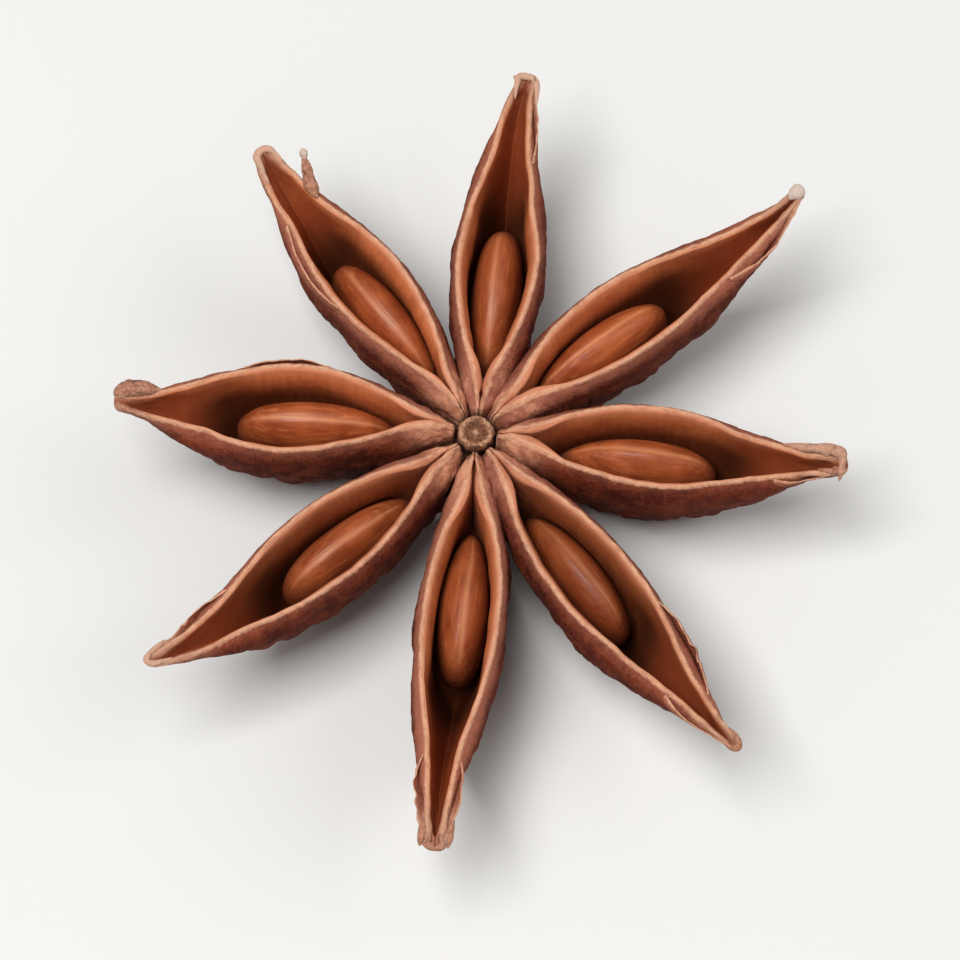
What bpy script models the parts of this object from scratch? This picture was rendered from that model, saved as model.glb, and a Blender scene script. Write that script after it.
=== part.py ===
"""A dried star anise pod: eight boat-shaped carpels round a hub, each split open along its top over a seed.

Metres, +Z up. The pod lies on its keels, splits up. The origin is in the middle of its box, at the bottom.
"""

import math
from typing import NamedTuple

import bmesh
import bpy
from mathutils import Matrix, Vector

MM = 0.001


class Carpel(NamedTuple):
    """One arm of the star. Its fractions run from the hub's centre, 0, to the tip, 1."""

    azimuth: float  # degrees from +X, of the straight line to the tip
    length: float  # from the hub's centre to the tip
    opening: float  # half the distance between the rims where they stand widest
    broadest: float  # fraction at which they do
    bow: float  # sideways shift of the inner half, to the left of the line
    hook: float  # sideways shift of the outer half
    lift: float  # rise of the tip over the hub's end of the rims
    foot: float  # height of the keel's lowest place: below 0 it is worn flat on the ground
    beak: float  # half-width of the blunt tip
    mouth: float  # by which each rim swings out again before the tip
    seed_at: float  # fraction at the middle of the seed


# Driving dimensions
CARPELS = (
    Carpel(-6.1, 16.0 * MM, 1.90 * MM, 0.48, -0.04 * MM, -0.2 * MM,
           0.2 * MM, -0.35 * MM, 0.42 * MM, 0.12 * MM, 0.445),
    Carpel(37.4, 18.1 * MM, 1.80 * MM, 0.46, 0.25 * MM, -0.35 * MM,
           0.9 * MM, 0.10 * MM, 0.24 * MM, 0.10 * MM, 0.390),
    Carpel(81.9, 16.6 * MM, 1.82 * MM, 0.48, 0.00 * MM, 0.3 * MM,
           0.7 * MM, -0.35 * MM, 0.26 * MM, 0.28 * MM, 0.410),
    Carpel(126.5, 16.0 * MM, 1.74 * MM, 0.52, -0.30 * MM, 0.15 * MM,
           0.8 * MM, 0.05 * MM, 0.24 * MM, 0.34 * MM, 0.435),
    Carpel(175.7, 15.6 * MM, 2.08 * MM, 0.53, -0.40 * MM, 0.1 * MM,
           0.4 * MM, -0.35 * MM, 0.34 * MM, 0.16 * MM, 0.450),
    Carpel(217.5, 17.7 * MM, 1.80 * MM, 0.48, 0.15 * MM, 0.5 * MM,
           0.3 * MM, 0.10 * MM, 0.18 * MM, 0.26 * MM, 0.410),
    Carpel(264.8, 19.0 * MM, 1.72 * MM, 0.46, 0.20 * MM, -0.1 * MM,
           0.0 * MM, -0.35 * MM, 0.25 * MM, 0.24 * MM, 0.388),
    Carpel(307.5, 18.3 * MM, 1.78 * MM, 0.47, -0.18 * MM, -0.15 * MM,
           0.1 * MM, 0.08 * MM, 0.20 * MM, 0.12 * MM, 0.402),
)
RIM_HEIGHT = 7.3 * MM  # of the rims at the hub
RIM_HUMP = 0.3 * MM  # their rise at mid-length
RIM_WIDTH = 0.28 * MM  # thickness of a rim's edge
LIP_DEPTH = 0.95 * MM  # height of the smooth band inside a rim
BELLY = 0.28 * MM  # by which a hull stands out past its rims
WALL = 0.4 * MM  # thickness of a hull's side
KEEL_WALL = 1.3 * MM  # thickness at the bottom of the hollow
KEEL_AT_HUB = 1.3 * MM  # height of the keel where it leaves the hub
RING = 1.15 * MM  # distance from the hub's centre to the carpels' inner ends
RING_DEPTH = 1.5 * MM  # of the round gap between them and the disc
DISC_RADIUS = 0.82 * MM
DISC_SINK = 0.35 * MM  # depth of the disc under the rims
CORE_RADIUS = 2.2 * MM  # of the hub under the gap, where the carpels grow together
STALK_RADIUS = 1.4 * MM  # of the stalk's scar underneath
STALK_DROP = 0.9 * MM  # by which the scar stands down from the keels' ends
SEED_LENGTH = 7.0 * MM
SEED_HEIGHT = 4.7 * MM
SEED_WIDTH = 2.2 * MM
SEED_SINK = 0.95 * MM  # depth of a seed's upper edge under the rims

# Proportions of a carpel
RIM_SWELL = 1.6  # higher makes the opening more pointed
HULL_SWELL = 1.0
INNER_END = 0.2 * MM  # added to the rims' half-width at the hub
INNER_END_FADE = 12  # higher keeps that nearer the hub
BEAK_FADE = 8  # higher keeps the beak's width nearer the tip
MOUTH_FROM = 0.74  # fraction at which the rims start to swing out
MOUTH_RUN = 0.16  # fraction over which they do
MOUTH_SHUTS = 0.4  # share of that swing which is gone again at the tip
MOUTH_SHUTS_FROM = 0.94
BEAK_DEPTH = 2.4  # height of the tip over its half-width
KEEL_LOW = 0.46  # fraction at the keel's lowest place
KEEL_RISE = 1.35  # higher keeps the keel low for longer before it sweeps up to the beak
BELLY_HEIGHT = 0.74  # of a section's height, at which the hull is widest
KEELED = 1.48  # 1 for a round lower hull, 2 for one of two straight sides
SHOULDER = (0.45, 0.72)  # a point between the belly and the rim: share of the way up, share of the belly
SPLIT_FROM = 0.07  # fraction at which the hollow starts
SPLIT_RUN = 0.14  # fraction over which it reaches its depth
SPLIT_CLOSES = 0.10  # fraction before the tip over which it loses it again
GROOVE = 0.2  # depth of the closed split, as a share of the height
LIP_SHARE = 0.4  # most that the lip takes of the hollow's depth
LIP_LEAN = 0.9  # half-width of the opening under the lip, as a share of that at the rim
RIM_SHARE = 0.45  # most that a rim's edge takes of the half-width
WALL_SHARE = 0.35  # most that a hull's side takes of it
TIP_FLARE = 1.08  # least width of the hull over the rims
BUCKLE = 0.09 * MM  # height of the shallow buckles in a hull
BUCKLES = (19.0, 31.0)  # radians of their two waves along a carpel
SEED_TAPER = 0.12  # by which a seed's outer half is fuller and its inner half narrower

# Fineness of the meshes
STATIONS = 16
CROWDING = 0.07  # higher puts more of the stations near a carpel's ends
HULL_ANGLES = (90, 64, 38, 13)  # degrees round the lower hull, from its widest place to beside the keel
HOLLOW = ((0.3, 0.97), (0.6, 0.87), (0.85, 0.5), (0.97, 0.22))  # depth and half-width of points down the hollow
HUB_SIDES = 24
SEED_SIDES = 14
SEED_RINGS = 9
SHARP = math.radians(50)
MERGE = 0.01 * MM


def ease(x):
    """0 below 0 and 1 above 1, with a soft rise between them."""
    x = min(max(x, 0.0), 1.0)
    return x * x * (3.0 - 2.0 * x)


def swell(carpel, s, power):
    """1 where the carpel is broadest and 0 at its ends."""
    turned = s ** (math.log(0.5) / math.log(carpel.broadest))
    return max(math.sin(math.pi * turned), 0.0) ** power


def bow_shape(s):
    return math.sin(math.pi * s) * (1.0 - s)


def hook_shape(s):
    return s**2 * (1.0 - s**BEAK_FADE)


def middle(carpel, s):
    """Sideways place of the carpel's centre line."""
    return carpel.bow * bow_shape(s) / bow_shape(1 / 3) + carpel.hook * hook_shape(s) / hook_shape(0.8)


def rim_height(carpel, s):
    return RIM_HEIGHT + RIM_HUMP * math.sin(math.pi * s) + carpel.lift * s**3


def keel_height(carpel, s):
    """The keel dips from the hub to its lowest place, then sweeps up to the beak."""
    if s < KEEL_LOW:
        return carpel.foot + (KEEL_AT_HUB - carpel.foot) * (1.0 - s / KEEL_LOW) ** 2
    tip = rim_height(carpel, 1.0) - BEAK_DEPTH * carpel.beak
    rise = ease(((s - KEEL_LOW) / (1.0 - KEEL_LOW)) ** KEEL_RISE)
    return carpel.foot + (tip - carpel.foot) * rise


def mouth_half(carpel, s):
    """What the rims stand further out before the tip."""
    shut = MOUTH_SHUTS * ease((s - MOUTH_SHUTS_FROM) / (1.0 - MOUTH_SHUTS_FROM))
    return carpel.mouth * ease((s - MOUTH_FROM) / MOUTH_RUN) * (1.0 - shut)


def rim_half(carpel, s):
    ends = INNER_END * (1.0 - s) ** INNER_END_FADE + carpel.beak * s**BEAK_FADE + mouth_half(carpel, s)
    return carpel.opening * swell(carpel, s, RIM_SWELL) + ends


def hull_half(carpel, s):
    hull = (carpel.opening + BELLY) * swell(carpel, s, HULL_SWELL)
    return max(hull, rim_half(carpel, s) * TIP_FLARE)


def buckle(carpel, s, side, angle):
    """The outside's uneven swelling, other on each carpel and side."""
    phase = math.radians(carpel.azimuth) * 3.0 + side
    waves = math.sin(BUCKLES[0] * s + phase) + math.sin(BUCKLES[1] * s + 4.0 * angle + 2.0 * phase)
    return BUCKLE * waves * math.sin(math.pi * s)


def outer_points(carpel, s, side):
    """The outside of one half of a section, from the rim down to beside the keel."""
    rim, hull = rim_half(carpel, s), hull_half(carpel, s)
    top, keel = rim_height(carpel, s), keel_height(carpel, s)
    belly = keel + (top - keel) * BELLY_HEIGHT
    points = [(rim, top), (rim + (hull - rim) * SHOULDER[1], belly + (top - belly) * SHOULDER[0])]
    for degrees in HULL_ANGLES:
        angle = math.radians(degrees)
        bulge = hull + buckle(carpel, s, side, angle)
        points.append((bulge * math.sin(angle) ** KEELED, belly - (belly - keel) * math.cos(angle) ** KEELED))
    return [(side * y, max(z, 0.0)) for y, z in points]


def split_depth(s):
    """1 along the hollow, falling to 0 where the split closes to a groove at either end."""
    return ease((s - SPLIT_FROM) / SPLIT_RUN) * ease((1.0 - s) / SPLIT_CLOSES)


def hollow_floor(carpel, s):
    """Depth of the hollow's floor under the rims."""
    height = rim_height(carpel, s) - keel_height(carpel, s)
    groove = GROOVE * height
    return groove + (height - KEEL_WALL - groove) * split_depth(s)


def inner_points(carpel, s, side):
    """The inside of one half of a section, from the rim down to beside the hollow's floor."""
    rim, hull = rim_half(carpel, s), hull_half(carpel, s)
    top, floor, deep = rim_height(carpel, s), hollow_floor(carpel, s), split_depth(s)
    edge = rim - min(RIM_WIDTH, RIM_SHARE * rim)
    room = hull - min(WALL, WALL_SHARE * hull)
    lip = min(LIP_DEPTH, LIP_SHARE * floor)
    points = [(edge, 0.0), (edge * LIP_LEAN, lip)]
    for down, wide in HOLLOW:
        groove = edge * (1.0 - down)
        points.append((groove + (room * wide - groove) * deep, lip + (floor - lip) * down))
    return [(side * y, top - z) for y, z in points]


def section(carpel, s):
    """The closed outline of a cut across: round the outside from rim to rim, then back round the inside."""
    keel = (0.0, max(keel_height(carpel, s), 0.0))
    floor = (0.0, rim_height(carpel, s) - hollow_floor(carpel, s))
    outside = outer_points(carpel, s, -1) + [keel] + outer_points(carpel, s, 1)[::-1]
    inside = inner_points(carpel, s, 1) + [floor] + inner_points(carpel, s, -1)[::-1]
    return outside + inside


def stations(carpel):
    """Fractions at which the carpel is cut, closer together towards its ends."""
    first = RING / carpel.length
    steps = [i / (STATIONS - 1) for i in range(STATIONS)]
    return [first + (1.0 - first) * (t - CROWDING * math.sin(2.0 * math.pi * t)) for t in steps]


def tip_place(carpel):
    turn = math.radians(carpel.azimuth)
    return Vector((math.cos(turn), math.sin(turn), 0.0)) * carpel.length


def hub_place():
    """Where the hub stands, for the pod's box to be centred on the origin."""
    tips = [tip_place(carpel) for carpel in CARPELS]
    x = (min(tip.x for tip in tips) + max(tip.x for tip in tips)) / 2.0
    y = (min(tip.y for tip in tips) + max(tip.y for tip in tips)) / 2.0
    return Vector((-x, -y, 0.0))


def placed(carpel):
    """The turn and shift that take a carpel's own axes to the pod's."""
    return Matrix.Translation(hub_place()) @ Matrix.Rotation(math.radians(carpel.azimuth), 4, "Z")


def carpel_mesh(carpel):
    """A loft through the carpel's sections, closed at both ends."""
    shape = bmesh.new()
    rings = []
    for s in stations(carpel):
        x, y0 = s * carpel.length, middle(carpel, s)
        rings.append([shape.verts.new((x, y0 + y, z)) for y, z in section(carpel, s)])
    count = len(rings[0])
    for near, far in zip(rings, rings[1:]):
        for i in range(count):
            j = (i + 1) % count
            shape.faces.new((near[i], near[j], far[j], far[i]))
    for ring in (rings[0], rings[-1]):
        for i in range(count // 2 - 1):
            shape.faces.new((ring[i], ring[i + 1], ring[count - 2 - i], ring[count - 1 - i]))
    bmesh.ops.transform(shape, matrix=placed(carpel), verts=shape.verts)
    bmesh.ops.recalc_face_normals(shape, faces=shape.faces)
    return finished_mesh(shape, "carpel")


def finished_mesh(shape, name):
    mesh = bpy.data.meshes.new(name)
    shape.to_mesh(mesh)
    shape.free()
    mesh.shade_smooth()
    mesh.set_sharp_from_angle(angle=SHARP)
    return mesh


def new_object(name, mesh, group, material):
    mesh.materials.append(material)
    thing = bpy.data.objects.new(name, mesh)
    group.objects.link(thing)
    return thing


def hub_profile():
    """Half of a cut through the hub, from the middle of its disc down to the stalk's scar."""
    disc, ring, scar = RIM_HEIGHT - DISC_SINK, RIM_HEIGHT - RING_DEPTH, KEEL_AT_HUB - STALK_DROP
    return [
        (0.0, disc - 0.10 * MM),
        (DISC_RADIUS * 0.6, disc - 0.05 * MM),
        (DISC_RADIUS * 0.9, disc),
        (DISC_RADIUS, disc - 0.15 * MM),
        (DISC_RADIUS, ring),
        (CORE_RADIUS * 0.9, ring - 0.20 * MM),
        (CORE_RADIUS, RIM_HEIGHT / 2.0),
        (CORE_RADIUS * 0.9, KEEL_AT_HUB + 0.50 * MM),
        (STALK_RADIUS + 0.25 * MM, scar + 0.50 * MM),
        (STALK_RADIUS, scar + 0.05 * MM),
        (STALK_RADIUS * 0.8, scar - 0.05 * MM),
        (STALK_RADIUS * 0.6, scar + 0.10 * MM),
        (0.0, scar + 0.05 * MM),
    ]


def make_hub(group, material):
    profile = hub_profile()
    mesh = bpy.data.meshes.new("hub")
    mesh.from_pydata([(r, 0.0, z) for r, z in profile], [(i, i + 1) for i in range(len(profile) - 1)], [])
    hub = new_object("pod", mesh, group, material)
    hub.location = hub_place()
    turned = hub.modifiers.new("turned", "SCREW")
    turned.steps = HUB_SIDES
    turned.render_steps = HUB_SIDES
    turned.use_merge_vertices = True
    turned.merge_threshold = MERGE
    return hub


def make_pod(parts, blanks, material):
    """The hub and the eight carpels, grown together into one piece."""
    pod = make_hub(parts, material)
    for number, carpel in enumerate(CARPELS, 1):
        blank = new_object(f"carpel_{number}", carpel_mesh(carpel), blanks, material)
        blank.hide_render = True
        blank.display_type = "WIRE"
        grown = pod.modifiers.new(f"carpel_{number}", "BOOLEAN")
        grown.operation = "UNION"
        grown.solver = "EXACT"
        grown.object = blank


def make_seed(number, carpel, group, material):
    """A flattened egg standing on its edge, its narrow end to the hub and its long axis along the carpel."""
    shape = bmesh.new()
    lying = Matrix.Rotation(math.pi / 2.0, 4, "Y")
    bmesh.ops.create_uvsphere(shape, u_segments=SEED_SIDES, v_segments=SEED_RINGS, radius=1.0, matrix=lying)
    for v in shape.verts:
        fuller = 1.0 + SEED_TAPER * v.co.x
        v.co.x *= SEED_LENGTH / 2.0
        v.co.y *= SEED_WIDTH / 2.0 * fuller
        v.co.z *= SEED_HEIGHT / 2.0 * fuller
    s, step = carpel.seed_at, 0.1
    slope = (middle(carpel, s + step) - middle(carpel, s - step)) / (2.0 * step * carpel.length)
    height = rim_height(carpel, s) - SEED_SINK - SEED_HEIGHT / 2.0
    own = Matrix.Translation((s * carpel.length, middle(carpel, s), height)) @ Matrix.Rotation(slope, 4, "Z")
    seed = new_object(f"seed_{number}", finished_mesh(shape, "seed"), group, material)
    seed.matrix_world = placed(carpel) @ own


def finish(name, colour, roughness):
    material = bpy.data.materials.new(name)
    material.use_nodes = True
    shader = material.node_tree.nodes["Principled BSDF"]
    shader.inputs["Base Color"].default_value = (*colour, 1.0)
    shader.inputs["Roughness"].default_value = roughness
    shader.inputs["Metallic"].default_value = 0.0
    return material


def new_group(name):
    group = bpy.data.collections.new(name)
    bpy.context.scene.collection.children.link(group)
    return group


def main():
    for old in list(bpy.data.objects):
        bpy.data.objects.remove(old)
    parts, blanks = new_group("star anise pod"), new_group("blanks")
    make_pod(parts, blanks, finish("dry husk", (0.24, 0.085, 0.04), 0.7))
    seed_coat = finish("seed coat", (0.42, 0.16, 0.05), 0.3)
    for number, carpel in enumerate(CARPELS, 1):
        make_seed(number, carpel, parts, seed_coat)


main()
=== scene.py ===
"""The looks of a dried star anise pod: husk, rims, hollows, seeds and hub, in soft studio light."""

import math
from typing import NamedTuple

import bpy
import numpy as np
from mathutils import Matrix, Vector


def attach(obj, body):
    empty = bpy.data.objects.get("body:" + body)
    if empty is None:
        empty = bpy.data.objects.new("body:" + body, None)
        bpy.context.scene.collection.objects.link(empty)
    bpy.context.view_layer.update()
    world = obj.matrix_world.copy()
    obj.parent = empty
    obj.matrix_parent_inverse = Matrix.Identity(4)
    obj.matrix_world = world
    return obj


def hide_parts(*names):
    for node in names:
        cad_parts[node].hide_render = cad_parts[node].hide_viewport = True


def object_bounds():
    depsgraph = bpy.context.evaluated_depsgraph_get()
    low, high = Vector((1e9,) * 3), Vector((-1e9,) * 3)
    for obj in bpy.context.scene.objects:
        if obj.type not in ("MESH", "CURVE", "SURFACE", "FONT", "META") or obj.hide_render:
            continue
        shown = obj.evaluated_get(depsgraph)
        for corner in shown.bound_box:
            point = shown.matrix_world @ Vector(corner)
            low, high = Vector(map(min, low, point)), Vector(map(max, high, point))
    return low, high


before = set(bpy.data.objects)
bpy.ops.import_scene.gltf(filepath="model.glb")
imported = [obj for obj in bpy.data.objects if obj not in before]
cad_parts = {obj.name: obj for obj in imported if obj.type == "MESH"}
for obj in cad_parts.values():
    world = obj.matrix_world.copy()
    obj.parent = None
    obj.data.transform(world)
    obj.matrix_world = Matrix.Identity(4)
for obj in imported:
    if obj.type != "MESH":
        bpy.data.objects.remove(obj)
CAD_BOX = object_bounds()

MM = 0.001


class Carpel(NamedTuple):
    """One arm of the star. Its fractions run from the hub's centre, 0, to the tip, 1."""

    azimuth: float  # degrees from +X, of the straight line to the tip
    length: float
    opening: float  # half the distance between the rims where they stand widest
    broadest: float  # fraction at which they do
    bow: float  # sideways shift of the inner half, to the left of the line
    hook: float  # sideways shift of the outer half
    lift: float  # rise of the tip over the hub's end of the rims
    foot: float  # height of the keel's lowest place
    beak: float  # half-width of the blunt tip
    mouth: float  # by which each rim swings out again before the tip
    seed_at: float  # fraction at the middle of the seed


CARPELS = (
    Carpel(-6.1, 16.0 * MM, 1.90 * MM, 0.48, -0.04 * MM, -0.2 * MM,
           0.2 * MM, -0.35 * MM, 0.42 * MM, 0.12 * MM, 0.445),
    Carpel(37.4, 18.1 * MM, 1.80 * MM, 0.46, 0.25 * MM, -0.35 * MM,
           0.9 * MM, 0.10 * MM, 0.24 * MM, 0.10 * MM, 0.390),
    Carpel(81.9, 16.6 * MM, 1.82 * MM, 0.48, 0.00 * MM, 0.3 * MM,
           0.7 * MM, -0.35 * MM, 0.26 * MM, 0.28 * MM, 0.410),
    Carpel(126.5, 16.0 * MM, 1.74 * MM, 0.52, -0.30 * MM, 0.15 * MM,
           0.8 * MM, 0.05 * MM, 0.24 * MM, 0.34 * MM, 0.435),
    Carpel(175.7, 15.6 * MM, 2.08 * MM, 0.53, -0.40 * MM, 0.1 * MM,
           0.4 * MM, -0.35 * MM, 0.34 * MM, 0.16 * MM, 0.450),
    Carpel(217.5, 17.7 * MM, 1.80 * MM, 0.48, 0.15 * MM, 0.5 * MM,
           0.3 * MM, 0.10 * MM, 0.18 * MM, 0.26 * MM, 0.410),
    Carpel(264.8, 19.0 * MM, 1.72 * MM, 0.46, 0.20 * MM, -0.1 * MM,
           0.0 * MM, -0.35 * MM, 0.25 * MM, 0.24 * MM, 0.388),
    Carpel(307.5, 18.3 * MM, 1.78 * MM, 0.47, -0.18 * MM, -0.15 * MM,
           0.1 * MM, 0.08 * MM, 0.20 * MM, 0.12 * MM, 0.402),
)
RIM_HEIGHT = 7.3 * MM
RIM_HUMP = 0.3 * MM
RIM_WIDTH = 0.25 * MM
LIP_DEPTH = 2.4 * MM
BELLY = 0.28 * MM
KEEL_WALL = 1.3 * MM
KEEL_AT_HUB = 1.3 * MM
RING = 1.06 * MM
RING_DEPTH = 1.5 * MM
DISC_RADIUS = 0.80 * MM
DISC_SINK = 0.36 * MM
CORE_RADIUS = 2.2 * MM
STALK_RADIUS = 1.4 * MM
STALK_DROP = 0.9 * MM
SEED_LENGTH = 7.0 * MM
SEED_HEIGHT = 4.7 * MM
SEED_WIDTH = 2.25 * MM
SEED_SINK = 0.86 * MM

RIM_SWELL = 1.6
HULL_SWELL = 1.0
INNER_END = 0.2 * MM
KEEL_LOW = 0.46
KEEL_RISE = 1.35
BEAK_DEPTH = 2.4
MOUTH_FROM = 0.74
MOUTH_RUN = 0.16
MOUTH_SHUTS = 0.4
MOUTH_SHUTS_FROM = 0.94
BELLY_HEIGHT = 0.74
BELLY_OVER_RIM = 1.08  # least half-width of the belly as a share of the rim's
KEELED = 1.48
SPLIT_FROM = 0.07
SPLIT_RUN = 0.14
SPLIT_CLOSES = 0.50 * MM
SHALLOWER = 0.12  # share by which the hollow is shallower beyond the seed
SHALLOWER_FROM = 0.16  # fractions beyond the middle of the seed
SHALLOWER_RUN = 0.2
TIP_WALL = 0.34  # thickness under the hollow, at most, as a share of the height
GROOVE = 0.2
LIP_LEAN = 0.30 * MM
SHOULDER_FLATNESS = 3.6
BUCKLE = 0.05 * MM
SEED_TAPER = 0.12

STATIONS = 190  # sections of a carpel
CROWDING = 0.07  # by which its sections draw together at both ends
TIP_AT = 0.988  # fraction from which the tip is rounded off
TIP_RINGS = 7
TIP_REACH = 0.45  # length of the rounded tip as a share of its height
INNER_ROUND = 0.16 * MM
INNER_CAP = 0.45  # share of the inner end's size that stays flat

# Measures of a section
BLUNT_RUN = 0.62 * MM  # length over which a petal's inner end is blunt
BLUNT_RIM = 0.30
BLUNT_HULL = 0.10
BLUNT_DROP = 0.26 * MM
UNEVEN_ENDS = 0.09 * MM
WAVER_FADES = 0.15  # fraction under which the rims run straight
RIM_WAVER = 0.07 * MM
RIM_NIBBLES = 0.018 * MM
RIM_WOBBLE = 0.09 * MM
RIM_CHIPS = 0.03 * MM
PARTS_FROM = 0.12  # fraction from which the two rims part
PARTS_RUN = 0.14
RIM_SHARE = 0.55  # most of the half opening that a rim takes
SEAM_SHARE = 0.95  # the same where the rims are still shut
LIP_SHARE = 0.38
SLUMP = 0.10 * MM
SEAM_SLUMP = 0.22 * MM
CREST_DROP = 0.11 * MM
CREST_PEAK = 0.36  # place of the crest's top, from the outside in
SEAM_PEAK = 0.40
CREST_POINT = 3  # point of the crest that lies nearest to its top
LEAN_RUN = 0.45 * MM
BARE_FROM = 0.36  # shares of the seed's length from its middle, where the hollow is bare
BARE_RUN = 0.25
SEED_CLEAR = 0.07 * MM
POCKET_AT = 0.5 * MM  # middle of the painted shadow just past the seed's far end
POCKET_RUN = 1.2 * MM

# Strands and peels
STRAND_ROWS = 16  # for each point of the way
STRAND_AROUND = 20
STRAND_LUMPS = 0.26
STRAND_GROOVES = 0.22
PEEL_ROWS = 90
PEEL_STEPS = 12
PEEL_EDGE = 0.05 * MM  # thickness at the free edge
PEEL_ROOT = 0.10 * MM  # what it gains at the root
PEEL_GRAIN = 0.035 * MM
PEEL_PALLOR = 0.7

# Hub and seeds
DISC_RIDGE_AT = 0.64 * MM
HUB_RINGS = 200
HUB_AROUND = 140
HUB_LUMPS = 0.15 * MM
HUB_SPOKES = 0.03 * MM
SEED_ROWS = 90
SEED_AROUND = 96
SEED_BLUNTER = 0.16  # by which the far end is blunter than the near one
SEED_RIDGE_AT = 0.12  # radians from the top
SEED_RIDGE_WIDTH = 0.10
SEED_RIDGE_HEIGHT = 0.05 * MM
SEED_SWELLS = 0.06 * MM
SEED_GRAIN = 0.035 * MM
SLOPE_STEP = 0.1  # fractions to either side between which the arm's slope is taken

# Relief of the husk
OUTER_GRAIN = 0.05 * MM
FOLD_RELIEF = 0.13 * MM
CROSS_RELIEF = 0.07 * MM
LOW_FOLD_RELIEF = 0.06 * MM
LOW_CROSS_RELIEF = 0.03 * MM
PETAL_RELIEF = 0.13 * MM
INNER_RELIEF = 0.025 * MM
CREST_RELIEF = 0.045 * MM
TIP_RELIEF = 0.09 * MM
TIP_RAGGED = 0.18 * MM
CREASE_UNIT = 0.12 * MM  # relief that counts as a crease or ridge of 1


class Nick(NamedTuple):
    """A place where a rim swings in."""

    carpel: int
    side: int  # 1 for the left of the line to the tip, -1 for the right
    at: float
    run: float
    depth: float


class Peel(NamedTuple):
    """A strip of the outer skin that stands off the wall below a rim."""

    carpel: int
    side: int
    start: float
    end: float
    reach: float
    hang: float


class Strand(NamedTuple):
    """A frayed fibre or shrivelled knob."""

    carpel: int
    way: tuple  # points in mm outward, to the left and up from the tip
    radii: tuple  # in mm, one for each point
    tone: float = 0.0  # 0 is tan, 0.5 pale pink and 1 pale grey


NICKS = (
    Nick(3, -1, 0.62, 0.070, 0.20 * MM),
    Nick(1, 1, 0.70, 0.040, 0.10 * MM),
    Nick(8, -1, 0.62, 0.050, 0.08 * MM),
    Nick(5, 1, 0.74, 0.050, 0.10 * MM),
)
PEELS = (
    Peel(7, -1, 0.79, 0.985, 0.34 * MM, 0.9 * MM),
    Peel(7, 1, 0.80, 0.985, 0.28 * MM, 0.7 * MM),
    Peel(8, 1, 0.61, 0.86, 0.36 * MM, 1.0 * MM),
    Peel(8, -1, 0.80, 0.985, 0.14 * MM, 0.8 * MM),
    Peel(3, -1, 0.76, 0.985, 0.20 * MM, 0.8 * MM),
    Peel(2, -1, 0.72, 0.985, 0.30 * MM, 0.9 * MM),
    Peel(4, 1, 0.50, 0.78, 0.16 * MM, 1.0 * MM),
    Peel(5, -1, 0.42, 0.66, 0.12 * MM, 0.9 * MM),
    Peel(1, -1, 0.82, 0.975, 0.12 * MM, 0.9 * MM),
    Peel(6, -1, 0.74, 0.985, 0.22 * MM, 0.7 * MM),
)
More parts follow.
